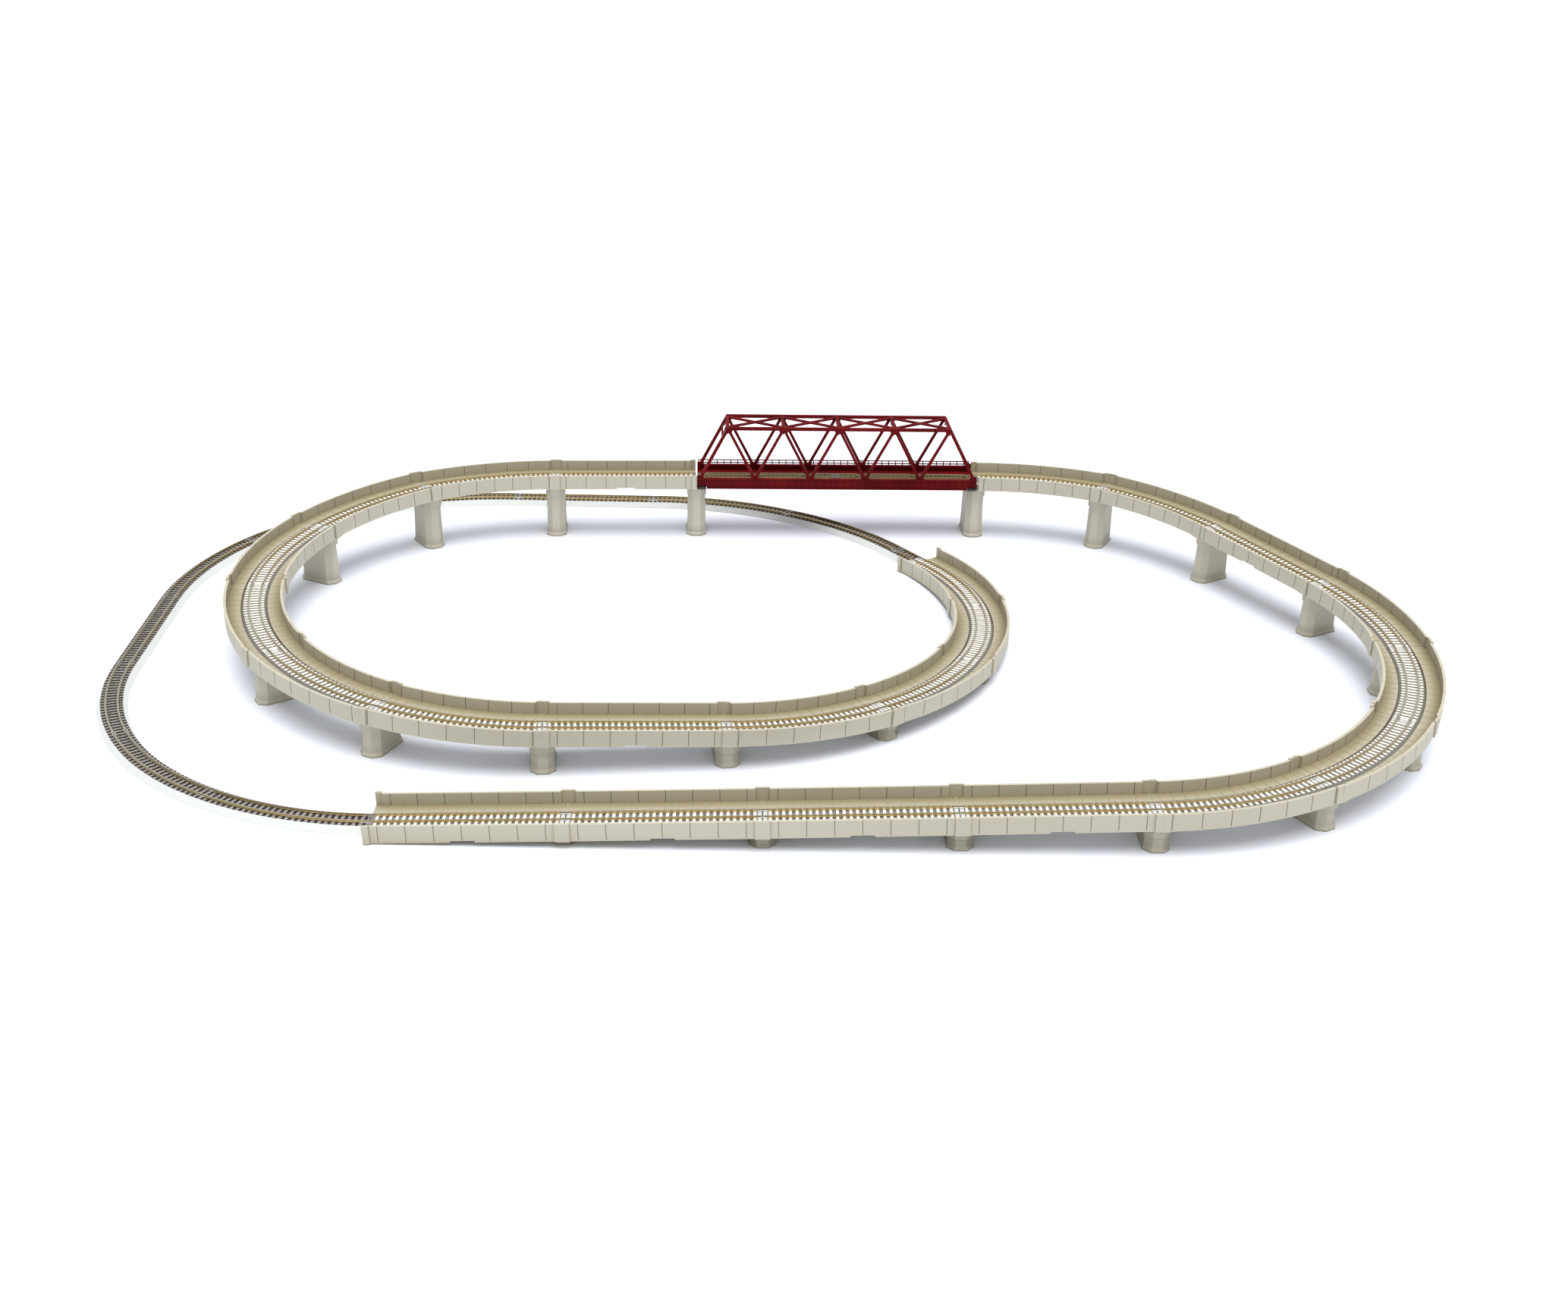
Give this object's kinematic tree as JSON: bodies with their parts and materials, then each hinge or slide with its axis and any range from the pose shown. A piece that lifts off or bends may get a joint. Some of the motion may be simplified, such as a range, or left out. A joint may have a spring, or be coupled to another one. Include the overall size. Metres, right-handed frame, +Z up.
{
  "type": "model railway layout",
  "caption": "Small-gauge model railway loop on the floor that climbs a viaduct of troughed pieces on stepped piers and crosses a through truss bridge above its own track",
  "frame": {"origin": "centre of the footprint, on the floor", "axes": "+X along the front straight, +Y from the front straight to the bridge, +Z up"},
  "size_m": [0.868, 0.552, 0.0902],
  "materials": {
    "viaduct_plastic": "moulded, warm grey",
    "pier_plastic": "moulded, warm grey",
    "ballast_plastic": "printed grey ballast",
    "dark_ballast_plastic": "dark moulded bed",
    "ground_ballast_plastic": "pale blue grey ballast shoulder",
    "concrete_sleepers": "off-white",
    "wooden_sleepers": "dark brown",
    "rail_metal": "drawn, tan metal",
    "joiner_metal": "bright plated",
    "bridge_plastic": "moulded, dark crimson",
    "bearing_plastic": "black"
  },
  "bodies": {
    "layout": {"ground_rails": "rail_metal", "ground_roadbed_back_curves": "ground_ballast_plastic", "ground_roadbed_back_straight": "ground_ballast_plastic", "ground_roadbed_filler": "ground_ballast_plastic", "ground_roadbed_front_curves": "ground_ballast_plastic", "ground_roadbed_left_curves": "ground_ballast_plastic", "ground_roadbed_left_straight": "ground_ballast_plastic", "ground_sleepers": "wooden_sleepers", "pier_04_mm": "pier_plastic", "pier_08_mm": "pier_plastic", "pier_12_mm": "pier_plastic", "pier_16_mm": "pier_plastic", "pier_20_mm": "pier_plastic", "pier_24_mm": "pier_plastic", "pier_28_mm": "pier_plastic", "pier_32_mm": "pier_plastic", "pier_36_mm": "pier_plastic", "pier_40_mm": "pier_plastic", "rail_joiners": "joiner_metal", "viaduct_back_straight": "viaduct_plastic", "viaduct_front_straight_1": "viaduct_plastic", "viaduct_front_straight_2": "viaduct_plastic", "viaduct_front_straight_3": "viaduct_plastic", "viaduct_front_straight_4": "viaduct_plastic", "viaduct_inner_curve_1": "viaduct_plastic", "viaduct_inner_curve_2": "viaduct_plastic", "viaduct_inner_curve_3": "viaduct_plastic", "viaduct_inner_curve_4": "viaduct_plastic", "viaduct_inner_straight": "viaduct_plastic", "viaduct_left_curve_1": "viaduct_plastic", "viaduct_left_curve_2": "viaduct_plastic", "viaduct_left_curve_3": "viaduct_plastic", "viaduct_left_curve_4": "viaduct_plastic", "viaduct_left_curve_5": "viaduct_plastic", "viaduct_left_curve_6": "viaduct_plastic", "viaduct_rails": "rail_metal", "viaduct_right_curve_1": "viaduct_plastic", "viaduct_right_curve_2": "viaduct_plastic", "viaduct_right_curve_3": "viaduct_plastic", "viaduct_right_curve_4": "viaduct_plastic", "viaduct_right_curve_5": "viaduct_plastic", "viaduct_right_curve_6": "viaduct_plastic", "viaduct_right_straight": "viaduct_plastic", "viaduct_roadbed": "ballast_plastic", "viaduct_sleepers": "concrete_sleepers"},
    "truss_bridge": {"bridge_bearings": "bearing_plastic", "bridge_floor": "bridge_plastic", "bridge_handrail": "bridge_plastic", "bridge_joiners": "joiner_metal", "bridge_rails": "rail_metal", "bridge_roadbed": "dark_ballast_plastic", "bridge_sleepers": "wooden_sleepers", "bridge_top_bracing": "bridge_plastic", "bridge_truss_far": "bridge_plastic", "bridge_truss_near": "bridge_plastic", "bridge_walkway": "bridge_plastic"}
  },
  "joints": [
    {"name": "bridge_lift", "type": "slide", "parent": "layout", "child": "truss_bridge", "axis": [0, 0, 1], "range_m": [0, 0.06]}
  ]
}
